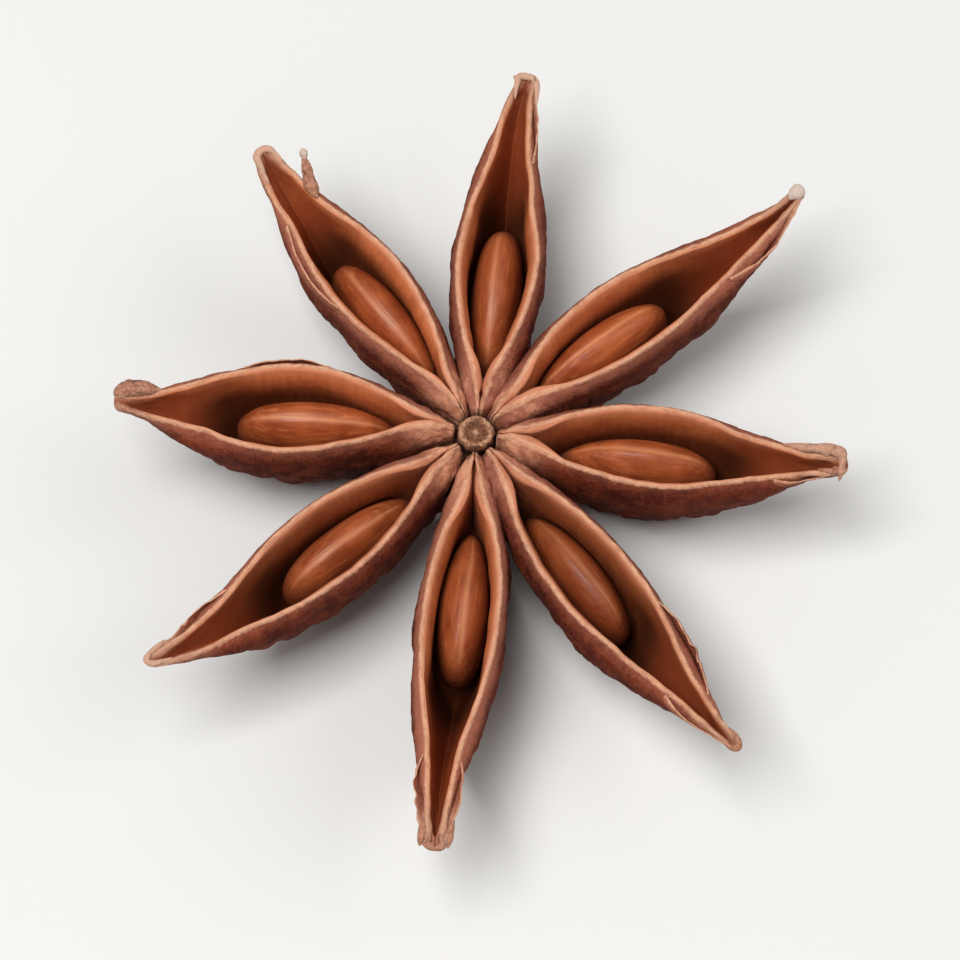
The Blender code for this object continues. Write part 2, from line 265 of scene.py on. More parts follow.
STRANDS = (
    Strand(1, ((-2.7, 0.68, -0.16), (-2.0, 0.62, -0.10), (-1.3, 0.56, -0.04), (-0.7, 0.54, 0.0),
               (-0.2, 0.50, 0.0), (0.0, 0.26, -0.05), (0.02, -0.06, -0.1), (0.0, -0.40, -0.2),
               (-0.06, -0.72, -0.35)),
           (0.07, 0.18, 0.26, 0.31, 0.30, 0.22, 0.15, 0.13, 0.07), 0.25),
    Strand(1, ((-1.0, -0.36, -0.05), (-0.5, -0.40, 0.0), (-0.05, -0.42, -0.1)), (0.07, 0.13, 0.10)),
    Strand(2, ((-0.75, 0.0, -0.16), (-0.42, 0.0, -0.10), (-0.14, -0.02, -0.12), (0.04, -0.04, -0.22)),
           (0.12, 0.27, 0.30, 0.15), 1.0),
    Strand(3, ((-1.1, 0.44, -0.06), (-0.5, 0.46, -0.02), (-0.08, 0.40, 0.0), (0.02, 0.12, -0.04),
               (-0.04, -0.24, -0.04), (-0.4, -0.44, -0.04), (-1.3, -0.54, -0.08)),
           (0.06, 0.12, 0.17, 0.16, 0.15, 0.14, 0.06), 0.5),
    Strand(3, ((-0.5, 0.42, 0.0), (-0.15, 0.50, 0.04), (-0.05, 0.66, -0.02)), (0.08, 0.13, 0.06), 0.5),
    Strand(4, ((-1.5, 0.62, -0.10), (-0.8, 0.52, -0.04), (-0.2, 0.34, -0.02), (-0.02, 0.0, -0.06),
               (-0.2, -0.34, -0.06), (-0.9, -0.52, -0.08)), (0.05, 0.13, 0.17, 0.17, 0.15, 0.06), 0.5),
    Strand(4, ((-3.3, -0.72, -0.25), (-2.6, -0.86, -0.30), (-1.9, -1.14, -0.38), (-1.25, -1.42, -0.36)),
           (0.10, 0.32, 0.24, 0.12)),
    Strand(4, ((-1.42, -1.38, -0.32), (-1.16, -1.48, -0.26), (-0.98, -1.46, -0.3)),
           (0.10, 0.21, 0.12), 0.9),
    Strand(5, ((-2.0, -0.60, -0.16), (-1.4, -0.62, -0.12), (-0.85, -0.66, -0.10), (-0.3, -0.60, -0.12),
               (0.04, -0.42, -0.18), (0.18, -0.18, -0.28)), (0.08, 0.26, 0.38, 0.37, 0.28, 0.08)),
    Strand(5, ((-1.2, 0.50, -0.1), (-0.6, 0.44, -0.04), (-0.1, 0.26, -0.06), (0.04, 0.0, -0.15)),
           (0.05, 0.10, 0.13, 0.10)),
    Strand(5, ((-0.3, -0.3, -0.25), (0.0, -0.2, -0.3), (0.08, 0.08, -0.42)), (0.18, 0.22, 0.12)),
    Strand(6, ((-1.0, 0.48, -0.12), (-0.45, 0.34, -0.04), (-0.04, 0.10, -0.04), (-0.06, -0.16, -0.08),
               (-0.5, -0.30, -0.08), (-1.2, -0.42, -0.18)), (0.05, 0.12, 0.15, 0.15, 0.12, 0.05), 0.4),
    Strand(7, ((-1.9, 0.62, -0.30), (-1.2, 0.60, -0.20), (-0.5, 0.58, -0.14), (-0.02, 0.54, -0.2)),
           (0.05, 0.13, 0.15, 0.07)),
    Strand(7, ((-1.7, -0.62, -0.30), (-1.1, -0.62, -0.22), (-0.5, -0.62, -0.16), (-0.04, -0.66, -0.24)),
           (0.05, 0.14, 0.17, 0.08)),
    Strand(7, ((-0.16, 0.48, -0.14), (-0.02, 0.16, -0.1), (-0.04, -0.22, -0.12), (-0.2, -0.56, -0.18)),
           (0.12, 0.17, 0.16, 0.12)),
    Strand(7, ((-0.8, 0.24, -0.04), (-0.25, 0.26, 0.0), (0.12, 0.30, -0.12)), (0.07, 0.11, 0.06)),
    Strand(7, ((-0.8, -0.26, -0.04), (-0.25, -0.28, 0.0), (0.14, -0.26, -0.12)), (0.07, 0.11, 0.06)),
    Strand(8, ((-0.9, 0.28, -0.04), (-0.3, 0.24, 0.0), (0.02, 0.08, -0.06), (-0.1, -0.18, -0.08),
               (-0.7, -0.30, -0.06)), (0.06, 0.13, 0.15, 0.13, 0.06)),
    Strand(8, ((-0.4, 0.10, -0.1), (-0.05, 0.16, -0.06), (0.16, 0.10, -0.12)), (0.06, 0.10, 0.05)),
)
# How much darker each seed is than the palest, from 0 to 1: painted shadow on the seeds that lie in shade
SEED_SHADOW_SHARE = (0.2, 0.1, 0.35, 0.3, 0.0, 0.3, 0.4, 0.9)
# The same painted shadow for the inside of each carpel, under its rims
HOLLOW_SHADOW_SHARE = (0.4, 0.05, 0.3, 0.0, 0.0, 0.75, 0.3, 0.9)
# How pale each carpel's outside is under its left and its right rim, from 0 to 1
PALLOR = (
    (0.5, 0.1), (0.5, 0.75), (0.6, 0.5), (0.8, 0.5),
    (0.35, 0.6), (0.15, 0.7), (0.9, 0.9), (0.6, 0.3),
)


# Studio
LAMPS = {  # power in watts, side and place from the object's middle in metres
    "key": (1.85, 0.20, (-0.11, -0.04, 0.41)),
    "fill": (0.5, 0.30, (0.30, 0.04, 0.30)),
}
SKY = (1.0, 0.98, 0.95, 1.0)
SKY_STRENGTH = 0.26
FLOOR_HALF = 2.0
CAMERA_ELEVATION = 70.0  # degrees above the ground
CAMERA_DISTANCE = 0.235
CAMERA_LENS = 200.0

# Colours, as linear red, green and blue
HUSK_DARK = (0.092, 0.012, 0.004)
HUSK_BROWN = (0.175, 0.027, 0.009)
HUSK_WARM = (0.24, 0.050, 0.019)
HUSK_DUSKY = (0.062, 0.009, 0.005)
HUSK_FIBRE = (0.30, 0.068, 0.027)
HUSK_SPECK = (0.35, 0.095, 0.042)
HUSK_PIT = (0.032, 0.008, 0.005)
FOLD_TOP = (0.30, 0.095, 0.045)
# painted shade in the bottoms of the folds
FOLD_SHADE = (0.026, 0.007, 0.005)
SHOULDER_PINK = (0.46, 0.160, 0.098)
LIP_BROWN = (0.58, 0.165, 0.056)
LIP_GRAIN = (0.68, 0.215, 0.080)
LIP_STAIN = (0.34, 0.066, 0.019)
# painted shadow on the lips of the carpels that lie in shade
LIP_SHADOW = (0.20, 0.052, 0.018)
# the hollow's red-brown, darkened lower down as painted shade
HOLLOW_SHADED_BROWN = (0.19, 0.040, 0.013)
HOLLOW_SHADED_GRAIN = (0.25, 0.060, 0.020)
HOLLOW_TIPWARD = (0.285, 0.058, 0.019)
# painted shade deep in the narrow end of the hollow
HOLLOW_END_SHADE = (0.085, 0.020, 0.008)
# painted shadow, laid in the hollow just past each seed's far end
POCKET_SHADOW = (0.050, 0.013, 0.005)
# painted light on the inside just under the rims
UNDER_RIM_LIGHT = (0.53, 0.200, 0.110)
PETAL_PINK = (0.47, 0.180, 0.120)
PETAL_PALE = (0.76, 0.370, 0.220)
# painted shade in the groove of the closed seam near the hub
PETAL_SEAM_SHADE = (0.27, 0.070, 0.032)
# painted shade in the creases near the hub
PETAL_CREASE_SHADE = (0.16, 0.038, 0.018)
# painted shade on the petals' inner ends, where they face the gap round the hub
PETAL_END_SHADE = (0.16, 0.050, 0.026)
CREST_TAN = (0.67, 0.350, 0.215)
TIP_TAN = (0.42, 0.245, 0.165)
DISC_DARK = (0.15, 0.052, 0.022)
DISC_BROWN = (0.34, 0.135, 0.062)
DISC_RIDGE = (0.60, 0.33, 0.20)
# painted shade in the hub's creases
DISC_CREASE_SHADE = (0.035, 0.013, 0.008)
# painted shade in the hub's sunk places
DISC_SUNK_SHADE = (0.050, 0.017, 0.010)
FIBRE_BROWN = (0.27, 0.105, 0.058)
FIBRE_TAN = (0.52, 0.250, 0.160)
FIBRE_PINK = (0.64, 0.400, 0.280)
FIBRE_GREY = (0.62, 0.510, 0.440)
# painted shade in the fibres' grooves
FIBRE_CREASE_SHADE = (0.070, 0.030, 0.018)
SEED_BROWN = (0.26, 0.053, 0.0135)
SEED_AMBER = (0.385, 0.092, 0.025)
SEED_STREAK = (0.50, 0.15, 0.050)
SEED_DARK_STREAK = (0.15, 0.024, 0.006)
# the ridge line's own paler tone, with a painted highlight along it
SEED_RIDGE_AND_SHEEN = (0.62, 0.25, 0.105)
# painted shade on the seeds' lower flanks
SEED_FLANK_SHADE = (0.105, 0.020, 0.006)
SEED_SCAR = (0.11, 0.035, 0.015)
# painted shadow on the seeds that lie in shade
SEED_SHADOW = (0.135, 0.026, 0.007)
FLOOR_GREY = (0.66, 0.655, 0.64)
FLOOR_PALE = (0.70, 0.695, 0.68)


# Noise --------------------------------------------------------------------------------------------


def hashed(x, y, z, seed):
    """A number from -1 to 1 for each lattice point."""
    mixed = x * 73856093 ^ y * 19349663 ^ z * 83492791 ^ seed * 50331653
    mixed = (mixed ^ (mixed >> 13)) * 1274126177
    mixed = (mixed ^ (mixed >> 16)) & 0xFFFFFF
    return mixed / 0x7FFFFF - 1.0


def noise(points, size, seed):
    """Smooth noise from -1 to 1 whose lumps are about as long as size, one length or three."""
    at = points / np.asarray(size)
    cell = np.floor(at).astype(np.int64)
    part = at - cell
    part = part * part * (3.0 - 2.0 * part)
    total = np.zeros(points.shape[:-1])
    for corner in np.ndindex(2, 2, 2):
        weight = np.prod(np.where(corner, part, 1.0 - part), axis=-1)
        x, y, z = (cell[..., i] + corner[i] for i in range(3))
        total += weight * hashed(x, y, z, seed)
    return total


def rough_noise(points, size, seed, octaves=4):
    total, gain = 0.0, 1.0
    for octave in range(octaves):
        total = total + gain * noise(points, np.asarray(size) / 2.0**octave, seed + octave)
        gain *= 0.5
    return total / 2.0


def ridges(points, size, seed):
    """Sharp crests between rounded hollows, from 0 to 1."""
    warp = np.stack([noise(points, np.asarray(size) * 1.5, seed + 7 + i) for i in range(3)], axis=-1)
    return 1.0 - np.abs(noise(points + warp * np.asarray(size) * 0.4, size, seed))


def ease(x):
    x = np.clip(x, 0.0, 1.0)
    return x * x * (3.0 - 2.0 * x)


# The carpels' form --------------------------------------------------------------------------------


def swell(c, s, power):
    turned = s ** (math.log(0.5) / math.log(c.broadest))
    return np.maximum(np.sin(np.pi * turned), 0.0) ** power


def bow_shape(s):
    return np.sin(np.pi * s) * (1.0 - s)


def hook_shape(s):
    return s**2 * (1.0 - s**8)


def middle(c, s):
    return c.bow * bow_shape(s) / bow_shape(1 / 3) + c.hook * hook_shape(s) / hook_shape(0.8)


def rim_height(c, s):
    return RIM_HEIGHT + RIM_HUMP * np.sin(np.pi * s) + c.lift * s**3


def keel_height(c, s):
    tip = rim_height(c, 1.0) - BEAK_DEPTH * c.beak
    dip = c.foot + (KEEL_AT_HUB - c.foot) * (1.0 - s / KEEL_LOW) ** 2
    rise = ease((np.maximum(s - KEEL_LOW, 0.0) / (1.0 - KEEL_LOW)) ** KEEL_RISE)
    return np.where(s < KEEL_LOW, dip, c.foot + (tip - c.foot) * rise)


def mouth_half(c, s):
    shut = MOUTH_SHUTS * ease((s - MOUTH_SHUTS_FROM) / (1.0 - MOUTH_SHUTS_FROM))
    return c.mouth * ease((s - MOUTH_FROM) / MOUTH_RUN) * (1.0 - shut)


def rim_half(c, s):
    ends = INNER_END * (1.0 - s) ** 12 + c.beak * s**8 + mouth_half(c, s)
    return c.opening * swell(c, s, RIM_SWELL) + ends


def hull_half(c, s):
    return np.maximum((c.opening + BELLY) * swell(c, s, HULL_SWELL), rim_half(c, s) * BELLY_OVER_RIM)


def buckle(c, s, side, angle):
    phase = math.radians(c.azimuth) * 3.0 + side
    waves = np.sin(19.0 * s + phase) + np.sin(31.0 * s + 4.0 * angle + 2.0 * phase)
    return BUCKLE * waves * np.sin(np.pi * s)


def split_depth(c, s):
    return ease((s - SPLIT_FROM) / SPLIT_RUN) * ease((TIP_AT - s) * c.length / SPLIT_CLOSES)


def hollow_floor(c, s):
    height = rim_height(c, s) - keel_height(c, s)
    groove = GROOVE * height
    wall = np.minimum(KEEL_WALL, TIP_WALL * height)
    depth = groove + (height - wall - groove) * split_depth(c, s)
    return depth * (1.0 - SHALLOWER * ease((s - c.seed_at - SHALLOWER_FROM) / SHALLOWER_RUN))


def seed_half(c, s, z):
    """Half the seed's width at the fraction and height, and 0 where there is no seed."""
    x = (s - c.seed_at) * c.length / (SEED_LENGTH / 2.0)
    up = (z - seed_height(c)) / (SEED_HEIGHT / 2.0)
    return SEED_WIDTH / 2.0 * (1.0 + SEED_TAPER * x) * np.sqrt(np.maximum(1.0 - x**2 - up**2, 0.0))


def seed_height(c):
    return float(rim_height(c, c.seed_at)) - SEED_SINK - SEED_HEIGHT / 2.0


def half_section(c, s, side):
    """One half of every section, from beside the keel up to the rim and down to beside the hollow's floor.

    Returns the points' y and z, and for each point how far it lies past the rim's crest: below 0 outside.
    """
    s = s[:, None]
    along = np.stack([s * c.length, np.zeros_like(s), np.zeros_like(s)], axis=-1)
    seed = int(c.azimuth * 10) + 5000 + (40 if side > 0 else 0)
    waver = rough_noise(along, 3.0 * MM, seed) * RIM_WAVER
    waver = waver + noise(along, 0.55 * MM, seed + 9) * RIM_NIBBLES
    wobble = rough_noise(along, 2.4 * MM, seed + 20) * RIM_WOBBLE
    wobble = wobble + noise(along, 0.45 * MM, seed + 29) * RIM_CHIPS
    for nick in NICKS:
        if CARPELS[nick.carpel - 1] is c and nick.side == side:
            waver = waver - nick.depth * np.exp(-(((s - nick.at) / nick.run) ** 2))
    fade = ease(s / WAVER_FADES)
    rim, hull = rim_half(c, s) + waver * fade, hull_half(c, s)
    top, keel = rim_height(c, s) + wobble * fade, keel_height(c, s)
    belly = keel + (top - keel) * BELLY_HEIGHT
    floor, deep = hollow_floor(c, s), split_depth(c, s)
    shorter = UNEVEN_ENDS * (1.0 + math.sin(2.3 * c.azimuth + 1.7 * side))
    blunt = 1.0 - ease((s * c.length - RING - shorter) / BLUNT_RUN)
    rim = rim * (1.0 - BLUNT_RIM * blunt)
    hull = hull * (1.0 - BLUNT_HULL * blunt)
    top = top - BLUNT_DROP * blunt**2
    parted = ease((s - PARTS_FROM) / PARTS_RUN)
    width = np.minimum(RIM_WIDTH, RIM_SHARE * rim) * parted + SEAM_SHARE * rim * (1.0 - parted)
    edge = rim - width
    lip = np.minimum(LIP_DEPTH, LIP_SHARE * floor)

    angle = np.radians(np.linspace(7.0, 90.0, 28))[None, :]
    bulge = hull + buckle(c, s, side, angle)
    low = [bulge * np.sin(angle) ** KEELED, belly - (belly - keel) * np.cos(angle) ** KEELED]
    up = np.linspace(0.0, 1.0, 19)[None, 1:] ** 0.85
    bulge = hull + buckle(c, s, side, math.pi / 2.0) * (1.0 - up)
    slump = SLUMP + SEAM_SLUMP * (1.0 - parted)
    high = [rim + (bulge - rim) * (1.0 - up**SHOULDER_FLATNESS), belly + (top - slump - belly) * up]
    over = np.linspace(0.0, 1.0, 12)[None, 1:]
    peak = CREST_PEAK + SEAM_PEAK * (1.0 - parted)
    off_peak = np.where(over < peak, (peak - over) / peak, (over - peak) / (1.0 - peak))
    drop = np.where(over < peak, slump + 0.01 * MM, CREST_DROP)
    crest = [rim - width * over, top - drop * off_peak**1.8]
    down = np.linspace(0.0, 1.0, 15)[None, 1:]
    lean = np.minimum(LIP_LEAN, 0.3 * edge)
    sunk = (lip - CREST_DROP) * down**1.3
    band = [edge - lean * (1.0 - np.exp(-sunk / LEAN_RUN)), top - CREST_DROP - sunk]
    fall = np.linspace(0.0, 1.0, 22)[None, 1:-1] ** 1.1
    from_seed = np.abs(s - c.seed_at) * c.length
    beyond = ease((from_seed - BARE_FROM * SEED_LENGTH) / (BARE_RUN * SEED_LENGTH))
    well = [(edge - lean) * (1.0 - fall**2.6) ** 0.6, top - lip - (floor - lip) * fall]
    inner_y, inner_z = (np.concatenate([band[i], well[i]], axis=1) for i in (0, 1))
    sunk = np.clip((top - inner_z) / floor, 0.0, 1.0)
    bare = edge * (1.0 - sunk**1.5) ** 0.9
    inner_y = inner_y + (bare - inner_y) * beyond
    groove = edge * (1.0 - np.linspace(0.0, 1.0, inner_y.shape[1] + 1)[None, 1:])
    seed_width = seed_half(c, s, inner_z)
    hold = np.where(seed_width > 0.0, seed_width + SEED_CLEAR, 0.0)
    inner_y = groove + (np.maximum(inner_y, hold) - groove) * deep

    y = np.concatenate([low[0], high[0], crest[0], inner_y], axis=1)
    z = np.concatenate([low[1], high[1], crest[1], inner_z], axis=1)
    steps = np.hypot(np.diff(y, axis=1), np.diff(z, axis=1))
    run = np.concatenate([np.zeros_like(s), np.cumsum(steps, axis=1)], axis=1)
    crest_at = low[0].shape[1] + high[0].shape[1] + CREST_POINT
    return side * y, np.maximum(z, 0.0), run - run[:, crest_at : crest_at + 1]


def stations(c):
    first = RING / c.length
    t = np.linspace(0.0, 1.0, STATIONS)
    return first + (TIP_AT - first) * (t - CROWDING * np.sin(2.0 * np.pi * t))


def carpel_grid(c):
    """The carpel's points, one row a section, and their fractions, ways past the rim and pallors."""
    s = stations(c)
    right = half_section(c, s, -1)
    left = half_section(c, s, 1)
    keel = np.maximum(keel_height(c, s), 0.0)[:, None]
    floor = (rim_height(c, s) - hollow_floor(c, s))[:, None]
    zero = np.zeros_like(keel)
    y = np.concatenate([zero, right[0], zero, left[0][:, ::-1]], axis=1)
    z = np.concatenate([keel, right[1], floor, left[1][:, ::-1]], axis=1)
    past = np.concatenate([right[2][:, :1], right[2], right[2][:, -1:], left[2][:, ::-1]], axis=1)
    left_pallor, right_pallor = PALLOR[CARPELS.index(c)]
    half = (len(s), right[0].shape[1] + 1)
    pallor = np.concatenate([np.full(half, right_pallor), np.full(half, left_pallor)], axis=1)
    x = (s * c.length)[:, None] + np.zeros_like(y)
    y = y + middle(c, s)[:, None]
    return np.stack([x, y, z], axis=-1), s[:, None] + np.zeros_like(y), past, pallor


def grid_normals(grid):
    """Unit normals of a grid whose rows are closed loops."""
    along = np.gradient(grid, axis=0)
    around = (np.roll(grid, -1, axis=1) - np.roll(grid, 1, axis=1)) / 2.0
    normal = np.cross(around, along)
    return normal / np.maximum(np.linalg.norm(normal, axis=-1, keepdims=True), 1e-12)


def weather(c, grid, s, past):
    """Wrinkles outside, faint grain inside and lumps at the tip. Returns the grid and its creases."""
    seed = int(c.azimuth * 10) + 9000
    normal = grid_normals(grid)
    outside = ease(-(past + 0.10 * MM) / (0.45 * MM))
    low = ease(-(past + 0.9 * MM) / (1.6 * MM))
    inside = ease((past - 0.2 * MM) / (0.4 * MM))
    tip = ease((s - 0.8) / 0.2)
    folds = ridges(grid, (1.6 * MM, 1.0 * MM, 1.0 * MM), seed + 30) ** 3
    cross = ridges(grid, (0.7 * MM, 1.5 * MM, 1.5 * MM), seed + 45) ** 2
    stria = rough_noise(grid, (0.40 * MM, 2.0 * MM, 2.0 * MM), seed, 2)
    fine = rough_noise(grid, 0.45 * MM, seed + 60, 3)
    crest = np.exp(-((past / (0.16 * MM)) ** 2))
    relief = outside * (stria * OUTER_GRAIN + fine * OUTER_GRAIN)
    relief += low * ((folds - 0.35) * FOLD_RELIEF + (cross - 0.5) * CROSS_RELIEF)
    under = ease(-(past + 2.8 * MM) / (1.4 * MM))
    relief += under * ((folds - 0.50) * LOW_FOLD_RELIEF + (cross - 0.5) * LOW_CROSS_RELIEF)
    hubward = 1.0 - ease((s - 0.09) / 0.14)
    relief += hubward * rough_noise(grid, 0.55 * MM, seed + 200, 3) * PETAL_RELIEF
    relief += inside * rough_noise(grid, (1.2 * MM, 0.9 * MM, 0.9 * MM), seed + 90, 2) * INNER_RELIEF
    relief += crest * noise(grid, 0.24 * MM, seed + 105) * CREST_RELIEF
    relief += tip * rough_noise(grid, (0.8 * MM, 0.4 * MM, 0.4 * MM), seed + 120, 3) * TIP_RELIEF
    relief *= ease((s - 0.05) / 0.06) * 0.5 + 0.5
    moved = grid + normal * relief[..., None]
    ragged = rough_noise(grid, 0.35 * MM, seed + 150, 2) * TIP_RAGGED
    moved[..., 0] += ragged * ease((s - 0.94) / 0.06)
    resting = (grid[..., 2] < 0.12 * MM) & (past < 0)
    moved[..., 2] = np.where(resting, grid[..., 2], np.maximum(moved[..., 2], 0.0))
    return moved, relief / CREASE_UNIT


def closed_ends(grid, *values):
    """The grid with a rounded end beyond its last row and a blunter one before its first, and its values."""
    first, last = grid[0], grid[-1]
    inner, outer = first.mean(axis=0), last.mean(axis=0)
    reach = (last[:, 2].max() - last[:, 2].min()) * TIP_REACH
    rings = [grid]
    for k in range(1, TIP_RINGS + 1):
        turn = math.pi / 2.0 * k / (TIP_RINGS + 0.3)
        ring = outer + (last - outer) * math.cos(turn)
        ring[:, 0] += reach * math.sin(turn)
        rings.append(ring[None])
        ring = inner + (first - inner) * (INNER_CAP + (1.0 - INNER_CAP) * math.cos(turn))
        ring[:, 0] -= INNER_ROUND * math.sin(turn)
        rings.insert(0, ring[None])
    rings.insert(0, (inner + (rings[0][0] - inner) * 0.05)[None])
    grown = np.concatenate(rings, axis=0)
    ends = (TIP_RINGS + 1, TIP_RINGS)
    padded = [np.pad(v, (ends, (0, 0)), mode="edge") for v in values]
    return grown, padded


def lofted(name, grid, values, variety=0.0):
    """A closed mesh over the rows of the grid, with each of the values as an attribute."""
    values = {**values, "variety": np.full(grid.shape[:2], variety)}
    rows, count = grid.shape[:2]
    index = np.arange(rows * count).reshape(rows, count)
    near, far = index[:-1], index[1:]
    quads = np.stack([near, np.roll(near, -1, axis=1), np.roll(far, -1, axis=1), far], axis=-1)
    faces = quads.reshape(-1, 4).tolist() + [index[0][::-1].tolist(), index[-1].tolist()]
    mesh = bpy.data.meshes.new(name)
    mesh.from_pydata(grid.reshape(-1, 3).tolist(), [], faces)
    for label, value in values.items():
        attribute = mesh.attributes.new(label, "FLOAT", "POINT")
        attribute.data.foreach_set("value", value.reshape(-1).astype(np.float32))
    mesh.update()
    mesh.shade_smooth()
    return mesh


def hub_place():
    """The hub's middle, which lies where the span of the tips is centred on the origin."""
    turns = [math.radians(c.azimuth) for c in CARPELS]
    tips = [Vector((math.cos(a), math.sin(a), 0)) * c.length for a, c in zip(turns, CARPELS)]
    x = (min(tip.x for tip in tips) + max(tip.x for tip in tips)) / 2.0
    y = (min(tip.y for tip in tips) + max(tip.y for tip in tips)) / 2.0
    return Vector((-x, -y, 0.0))


def placed(c):
    return Matrix.Translation(hub_place()) @ Matrix.Rotation(math.radians(c.azimuth), 4, "Z")


def add_piece(name, mesh, material, place, slot, *nodes):
    mesh.materials.append(material)
    piece = bpy.data.objects.new(name, mesh)
    bpy.context.scene.collection.objects.link(piece)
    piece.matrix_world = place
    bpy.context.view_layer.update()
    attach(piece, "root")
    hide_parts(*nodes)


def make_carpel(number, c, material):
    grid, s, past, pallor = carpel_grid(c)
    grid, crease = weather(c, grid, s, past)
    grid, (s, past, crease, pallor) = closed_ends(grid, s, past, crease, pallor)
    past_seed = (s - c.seed_at) * c.length - SEED_LENGTH / 2.0
    # painted shadow just past the seed's far end, deep in the hollow
    pocket = np.exp(-(((past_seed - POCKET_AT) / POCKET_RUN) ** 2)) * ease((past - 0.8 * MM) / (1.4 * MM))
    # each carpel's share of painted shadow on its inside
    dim = np.full(s.shape, HOLLOW_SHADOW_SHARE[number - 1])
    values = {"along": s, "past_rim": past / MM, "crease": crease}
    values.update(pallor=pallor, dim=dim, pocket=pocket)
    mesh = lofted(f"carpel_{number}", grid, values, number)
    add_piece(f"carpel_{number}", mesh, material, placed(c), "husk", "pod")


def smooth_way(points, count):
    """A smooth line through the points, Catmull-Rom."""
    points = np.asarray(points, dtype=float)
    points = np.concatenate([2 * points[:1] - points[1:2], points, 2 * points[-1:] - points[-2:-1]])
    t = np.linspace(0.0, len(points) - 3 - 1e-6, count)
    i = np.floor(t).astype(int)
    f = (t - i)[:, None]
    a, b, c, d = (points[i + k] for k in range(4))
    return 0.5 * (2 * b + (c - a) * f + (2 * a - 5 * b + 4 * c - d) * f**2 + (3 * b - a - 3 * c + d) * f**3)


def make_strand(number, strand, material):
    c = CARPELS[strand.carpel - 1]
    rows, around = STRAND_ROWS * len(strand.way), STRAND_AROUND
    line = smooth_way([(*point, r) for point, r in zip(strand.way, strand.radii)], rows) * MM
    centre, radius = line[:, :3], np.maximum(line[:, 3], 0.02 * MM)
    ahead = np.gradient(centre, axis=0)
    ahead /= np.linalg.norm(ahead, axis=1, keepdims=True)
    side = np.cross(ahead, [0.0, 0.0, 1.0])
    side /= np.maximum(np.linalg.norm(side, axis=1, keepdims=True), 1e-9)
    rise = np.cross(side, ahead)
    turn = np.linspace(0.0, 2.0 * np.pi, around, endpoint=False)[None, :, None]
    ends = np.sqrt(np.clip(1.0 - np.linspace(-1.0, 1.0, rows) ** 8, 0.02, 1.0))
    reach = (radius * ends)[:, None, None]
    grid = centre[:, None] + (np.cos(turn) * side[:, None] + np.sin(turn) * rise[:, None]) * reach
    tip = np.array([c.length, float(middle(c, 1.0)), float(rim_height(c, 1.0))])
    grid = grid + tip
    lumps = rough_noise(grid, 0.30 * MM, 600 + number, 3)
    grooves = rough_noise(grid, (0.9 * MM, 0.16 * MM, 0.16 * MM), 700 + number, 2)
    relief = (lumps * STRAND_LUMPS + grooves * STRAND_GROOVES) * reach[..., 0]
    out = (grid - (centre + tip)[:, None]) / np.maximum(reach, 1e-6)
    grid = grid + out * relief[..., None]
    tone = np.full(relief.shape, strand.tone)
    mesh = lofted(f"fibre_{number}", grid, {"crease": relief / (0.05 * MM), "tone": tone}, 20 + number)
    add_piece(f"fibre_{number}", mesh, material, placed(c), "husk", "pod")


def make_peel(number, peel, material):
    c = CARPELS[peel.carpel - 1]
    t = np.linspace(0.0, 1.0, PEEL_ROWS)[:, None]
    s = peel.start + (peel.end - peel.start) * t
    v = np.linspace(0.0, 1.0, PEEL_STEPS)[None, :]
    along = np.concatenate([s * c.length, 0 * s, 0 * s], axis=1)
    frayed = rough_noise(along, 0.6 * MM, 800 + number, 3)[:, None]
    open_ = np.sin(np.pi * t) ** 0.9
    off = peel.reach * open_ * (1.0 + 0.45 * frayed)
    rim, hull, top, keel = rim_half(c, s), hull_half(c, s), rim_height(c, s), keel_height(c, s)
    tall = (top - keel) * (1.0 - BELLY_HEIGHT)
    hang = np.minimum(peel.hang, 0.9 * tall) * (0.15 + 0.85 * open_)
    down = 0.05 * MM + 0.12 * MM * open_ + hang * v
    surface = rim + (hull - rim) * (1.0 - (1.0 - np.minimum(down / tall, 1.0)) ** SHOULDER_FLATNESS)
    outer = surface + off * (1.0 - v**1.4) + 0.03 * MM * open_
    inner = outer - PEEL_EDGE - PEEL_ROOT * v
    z = top - down + 0.12 * MM * frayed * (1.0 - v) * open_
    y = np.concatenate([outer, inner[:, ::-1]], axis=1) * peel.side
    z = np.concatenate([z, z[:, ::-1]], axis=1)
    grid = np.stack([s * c.length + 0.0 * y, y + middle(c, s), z], axis=-1)
    grain = rough_noise(grid, 0.35 * MM, 900 + number, 3) * PEEL_GRAIN
    grid = grid + grid_normals(grid) * grain[..., None]
    past = -np.concatenate([v, v[:, ::-1]], axis=1) * hang / MM - 0.07 + 0.0 * y
    none = np.zeros_like(y)
    if peel.side < 0:
        grid, past = grid[:, ::-1], past[:, ::-1]
    values = {"along": s + none, "past_rim": past, "pallor": none + PEEL_PALLOR}
    values.update(crease=none, dim=none, pocket=none)
    mesh = lofted(f"skin_{number}", grid, values, 60 + number)
    add_piece(f"skin_{number}", mesh, material, placed(c), "husk", "pod")


# Hub and seeds ------------------------------------------------------------------------------------


